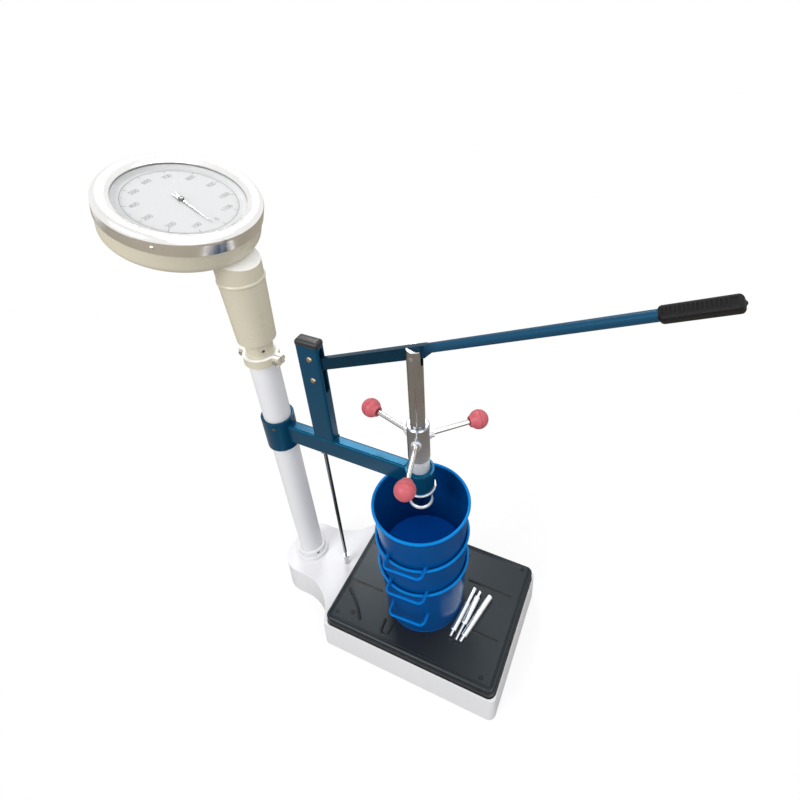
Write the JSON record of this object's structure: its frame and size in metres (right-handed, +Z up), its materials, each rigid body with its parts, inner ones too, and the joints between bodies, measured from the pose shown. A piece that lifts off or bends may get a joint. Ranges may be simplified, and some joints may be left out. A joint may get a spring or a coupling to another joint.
{
  "type": "concrete penetrometer",
  "caption": "Hand-lever concrete penetration tester on a dial platform scale, with a locking spindle, nested mortar moulds and screw-in needles.",
  "frame": {"origin": "on the floor under the press spindle, on the underside of the base", "axes": "+Z up along the spindle; +X from the column towards the lever's grip; +Y to the back, square to the plane of the press"},
  "size_m": [0.8285, 0.277, 0.9285],
  "materials": {
    "white_enamel": "gloss white enamel",
    "cream_enamel": "satin cream enamel",
    "bracket_blue": "gloss dark blue paint",
    "lever_blue": "hammered blue paint",
    "mould_blue": "gloss bright blue paint",
    "chrome": "polished chrome",
    "ground_steel": "ground steel",
    "zinc": "zinc plated steel",
    "dark_steel": "blackened steel",
    "iron": "painted cast iron",
    "plate_steel": "primed steel sheet",
    "mat_rubber": "black moulded rubber",
    "grip_rubber": "black ribbed rubber",
    "cap_black": "black plastic",
    "knob_pink": "coral pink plastic",
    "dial_white": "white printed dial",
    "dial_glass": "clear glass",
    "pointer_metal": "satin aluminium",
    "movement_brass": "brass"
  },
  "bodies": {
    "frame": {"base_casing": "white_enamel", "fulcrum_stands": "iron", "column_flange": "white_enamel", "flange_screw": "dark_steel", "column_tube": "white_enamel", "bracket_frame": "bracket_blue", "ring_screws": "zinc", "post_cap": "cap_black", "fulcrum_pins": "zinc", "tie_rod": "dark_steel", "tie_rod_nuts": "zinc", "guide_sleeve": "chrome", "spindle_collet": "zinc", "neck_clamp": "cream_enamel", "clamp_screws": "zinc", "spring_hanger": "zinc", "weighing_spring": "dark_steel"},
    "platform": {"platform_plate": "plate_steel", "platform_mat": "mat_rubber", "platform_bearings": "iron"},
    "main_lever": {"main_lever": "iron"},
    "short_lever": {"short_lever": "iron"},
    "draw_rod": {"draw_rod": "zinc", "draw_nut": "zinc", "spring_collar": "zinc"},
    "head": {"neck_sleeve": "cream_enamel", "neck_key": "cream_enamel", "dial_housing": "cream_enamel", "bezel": "chrome", "dial_glass": "dial_glass", "dial_face": "dial_white", "crank_bracket": "zinc", "arbor_bridge": "movement_brass"},
    "crank": {"bell_crank": "zinc"},
    "rack": {"rack": "movement_brass"},
    "pointer": {"pointer": "pointer_metal", "pinion_arbor": "movement_brass"},
    "lock": {"lock_hub": "chrome", "star_rods": "chrome", "star_nuts": "chrome", "ball_knobs": "knob_pink"},
    "spindle": {"spindle": "ground_steel", "fork_pin": "zinc", "needle_chuck": "ground_steel", "chuck_screw": "dark_steel"},
    "lever": {"lever_bar": "lever_blue", "lever_grip": "grip_rubber"},
    "mould_lower": {"mould_lower": "mould_blue", "mould_lower_handles": "mould_blue"},
    "mould_middle": {"mould_middle": "mould_blue", "mould_middle_handles": "mould_blue"},
    "mould_upper": {"mould_upper": "mould_blue", "mould_upper_handles": "mould_blue"},
    "needle_100": {"needle_100": "ground_steel"},
    "needle_50": {"needle_50": "ground_steel"},
    "needle_20": {"needle_20": "ground_steel"}
  },
  "joints": [
    {"name": "platform_sink", "type": "slide", "parent": "frame", "child": "platform", "axis": [0, 0, 1], "range_m": [-0.00242, 0.00008], "stiffness_N_per_m": 439000, "springref_m": 0.00023},
    {"name": "main_lever_tilt", "type": "hinge", "parent": "frame", "child": "main_lever", "pos_m": [0.17, 0, 0.042], "axis": [0, 1, 0], "range_deg": [-1.98, 0.07]},
    {"name": "short_lever_tilt", "type": "hinge", "parent": "frame", "child": "short_lever", "pos_m": [-0.14, 0, 0.042], "axis": [0, 1, 0], "range_deg": [-0.07, 1.98]},
    {"name": "draw_rod_pull", "type": "slide", "parent": "frame", "child": "draw_rod", "axis": [0, 0, 1], "range_m": [-0.01551, 0.00053], "deforming": ["weighing_spring"]},
    {"name": "head_swivel", "type": "hinge", "parent": "frame", "child": "head", "pos_m": [-0.279, 0, 0.64], "axis": [0, 0, 1], "range_deg": [-45, 45]},
    {"name": "crank_tilt", "type": "hinge", "parent": "head", "child": "crank", "pos_m": [-0.303, 0, 0.83084], "axis": [0, 1, 0], "range_deg": [-1.28, 37.02]},
    {"name": "rack_slide", "type": "slide", "parent": "head", "child": "rack", "axis": [0.9529, 0, -0.3034], "range_m": [-0.00061, 0.01783]},
    {"name": "pointer_turn", "type": "hinge", "parent": "head", "child": "pointer", "pos_m": [-0.348, 0, 0.8972], "axis": [0.3034, 0, 0.9529], "range_deg": [-319.16, 11.01]},
    {"name": "lock_turn", "type": "hinge", "parent": "frame", "child": "lock", "pos_m": [0, 0, 0.556], "axis": [0, 0, 1], "range_deg": [-30, 120]},
    {"name": "spindle_press", "type": "slide", "parent": "frame", "child": "spindle", "axis": [0, 0, 1], "range_m": [-0.097, 0]},
    {"name": "lever_swing", "type": "hinge", "parent": "spindle", "child": "lever", "pos_m": [0, 0, 0.72], "axis": [0, 1, 0], "range_deg": [0, 29.3]},
    {"name": "mould_lower_lift", "type": "slide", "parent": "platform", "child": "mould_lower", "axis": [0, 0, 1], "range_m": [0, 0.008]},
    {"name": "mould_middle_lift", "type": "slide", "parent": "mould_lower", "child": "mould_middle", "axis": [0, 0, 1], "range_m": [0, 0.008]},
    {"name": "mould_upper_lift", "type": "slide", "parent": "mould_middle", "child": "mould_upper", "axis": [0, 0, 1], "range_m": [0, 0.008]},
    {"name": "needle_100_lift", "type": "slide", "parent": "platform", "child": "needle_100", "axis": [0, 0, 1], "range_m": [0, 0.04]},
    {"name": "needle_50_lift", "type": "slide", "parent": "platform", "child": "needle_50", "axis": [0, 0, 1], "range_m": [0, 0.04]},
    {"name": "needle_20_lift", "type": "slide", "parent": "platform", "child": "needle_20", "axis": [0, 0, 1], "range_m": [0, 0.04]}
  ],
  "couplings": [
    {"joint": "main_lever_tilt", "follows": "platform_sink", "rad_per_m": 14.286},
    {"joint": "short_lever_tilt", "follows": "platform_sink", "rad_per_m": -14.286},
    {"joint": "draw_rod_pull", "follows": "platform_sink", "ratio": 6.4143},
    {"joint": "crank_tilt", "follows": "platform_sink", "rad_per_m": -267.26},
    {"joint": "rack_slide", "follows": "platform_sink", "ratio": -7.3723},
    {"joint": "pointer_turn", "follows": "platform_sink", "rad_per_m": 2303.8},
    {"joint": "lever_swing", "follows": "spindle_press", "rad_per_m": -5.2714}
  ]
}
